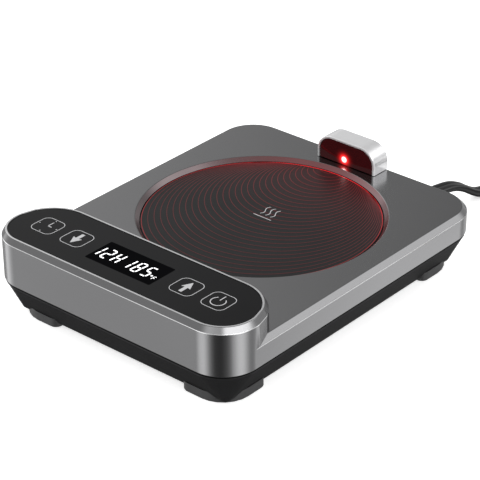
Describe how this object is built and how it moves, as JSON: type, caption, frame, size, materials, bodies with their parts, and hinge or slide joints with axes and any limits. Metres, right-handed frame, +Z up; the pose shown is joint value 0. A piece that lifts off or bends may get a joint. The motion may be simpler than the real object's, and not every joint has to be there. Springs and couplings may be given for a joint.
{
  "type": "hot plate burner",
  "caption": "Low electric warming plate: round recessed hot plate, raised front touch panel, rear optical sensor pod, tapered base on corner feet, flat mains lead.",
  "frame": {"origin": "on the table under the middle of the housing, without the mains lead", "axes": "+Z up, +Y from the control block towards the sensor pod and the lead, +X to the right seen from the controls"},
  "size_m": [0.237, 0.3738, 0.0525],
  "materials": {
    "shell_metal": "satin grey metallic",
    "panel_glass": "black polished glass with printed keys",
    "plate_coating": "dark satin coating",
    "base_plastic": "fine grained black moulding",
    "foot_rubber": "satin dark grey",
    "seal_rubber": "matte",
    "hood_silver": "bright satin silver",
    "lens_red": "dark red tinted, polished",
    "inner_plastic": "moulded",
    "board": "solder mask",
    "component": "moulded",
    "mica": "mica sheet",
    "insulation": "ceramic fibre",
    "steel": "zinc plated",
    "contact_brass": "bright",
    "wire_insulation": "silicone",
    "cord_pvc": "satin black PVC"
  },
  "bodies": {
    "root": {"top_housing": "shell_metal", "base_pan": "base_plastic", "foot_front_left": "foot_rubber", "foot_front_right": "foot_rubber", "foot_back_left": "foot_rubber", "foot_back_right": "foot_rubber", "base_screw_1": "steel", "base_screw_2": "steel", "base_screw_3": "steel", "base_screw_4": "steel", "control_panel": "panel_glass", "panel_gasket": "seal_rubber", "control_board": "board", "control_board_screw_left": "steel", "control_board_screw_right": "steel", "display_module": "inner_plastic", "buzzer": "inner_plastic", "touch_spring_timer": "steel", "touch_spring_down": "steel", "touch_spring_up": "steel", "touch_spring_power": "steel", "ribbon_cable": "wire_insulation", "heating_plate": "plate_coating", "plate_seal": "seal_rubber", "mica_disc_upper": "mica", "heating_element": "steel", "mica_disc_lower": "mica", "insulation_pad": "insulation", "clamp_dish": "steel", "clamp_nut": "steel", "thermistor": "inner_plastic", "thermal_fuse": "steel", "heater_lead_live": "wire_insulation", "heater_lead_neutral": "wire_insulation", "sensor_hood": "hood_silver", "sensor_lens": "lens_red", "sensor_holder": "inner_plastic", "sensor_board": "board", "ir_emitter": "lens_red", "ir_receiver": "inner_plastic", "sensor_screw_left": "steel", "sensor_screw_right": "steel", "sensor_cable": "wire_insulation", "power_board": "board", "relay": "component", "transformer": "component", "filter_capacitor": "component", "board_fuse": "component", "terminal_block": "component", "cord_clamp": "inner_plastic", "mains_tail_live": "wire_insulation", "mains_tail_neutral": "wire_insulation", "strain_relief": "cord_pvc", "power_cord": "cord_pvc", "cord_coil": "cord_pvc", "coil_tie": "seal_rubber", "power_cord_tail": "cord_pvc", "plug_body": "cord_pvc", "plug_blade_left": "contact_brass", "plug_blade_right": "contact_brass"}
  },
  "joints": []
}
